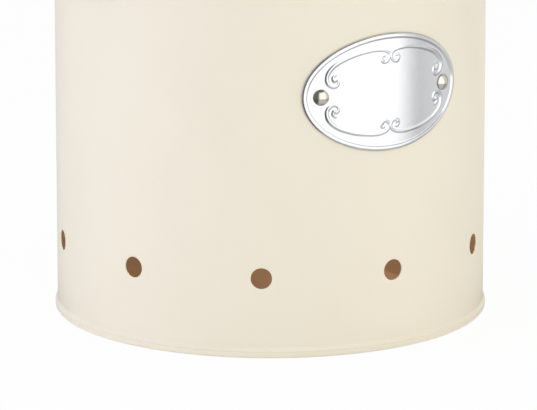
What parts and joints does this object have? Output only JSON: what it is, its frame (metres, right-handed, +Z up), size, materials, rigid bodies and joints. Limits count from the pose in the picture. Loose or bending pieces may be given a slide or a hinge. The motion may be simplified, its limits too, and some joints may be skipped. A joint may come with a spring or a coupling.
{
  "type": "vented storage tin",
  "caption": "Round enamelled steel vegetable tin with vent holes near its foot, an oval riveted label, wire drop-ring side handles and a lift-off domed lid with a knob.",
  "frame": {"origin": "centre of the foot ring, on the floor", "axes": "+Z up along the tin's axis, -Y towards the label, +X towards the right ring"},
  "size_m": [0.2544, 0.2468, 0.2909],
  "materials": {
    "cream_enamel": "satin cream powder coat outside, brown lacquer inside",
    "bright_label": "bright rolled, stamped",
    "nickel_plate": "bright nickel plate",
    "zinc_steel": "bright zinc plate"
  },
  "bodies": {
    "tin": {"body_shell": "cream_enamel", "base_pan": "cream_enamel", "label_plate": "bright_label", "label_rivet_left": "nickel_plate", "label_rivet_right": "nickel_plate", "left_clip": "nickel_plate", "left_clip_rivet_upper": "nickel_plate", "left_clip_rivet_lower": "nickel_plate", "right_clip": "nickel_plate", "right_clip_rivet_upper": "nickel_plate", "right_clip_rivet_lower": "nickel_plate"},
    "lid": {"lid_shell": "cream_enamel", "lid_knob": "nickel_plate", "knob_washer": "zinc_steel", "knob_screw": "zinc_steel"},
    "left_handle": {"left_ring": "nickel_plate"},
    "right_handle": {"right_ring": "nickel_plate"}
  },
  "joints": [
    {"name": "lid_lift", "type": "slide", "parent": "tin", "child": "lid", "axis": [0, 0, 1], "range_m": [0, 0.16]},
    {"name": "left_ring_swing", "type": "hinge", "parent": "tin", "child": "left_handle", "pos_m": [-0.12363, 0, 0.232], "axis": [0, 1, 0], "range_deg": [0, 170]},
    {"name": "right_ring_swing", "type": "hinge", "parent": "tin", "child": "right_handle", "pos_m": [0.12363, 0, 0.232], "axis": [0, -1, 0], "range_deg": [0, 170]}
  ]
}
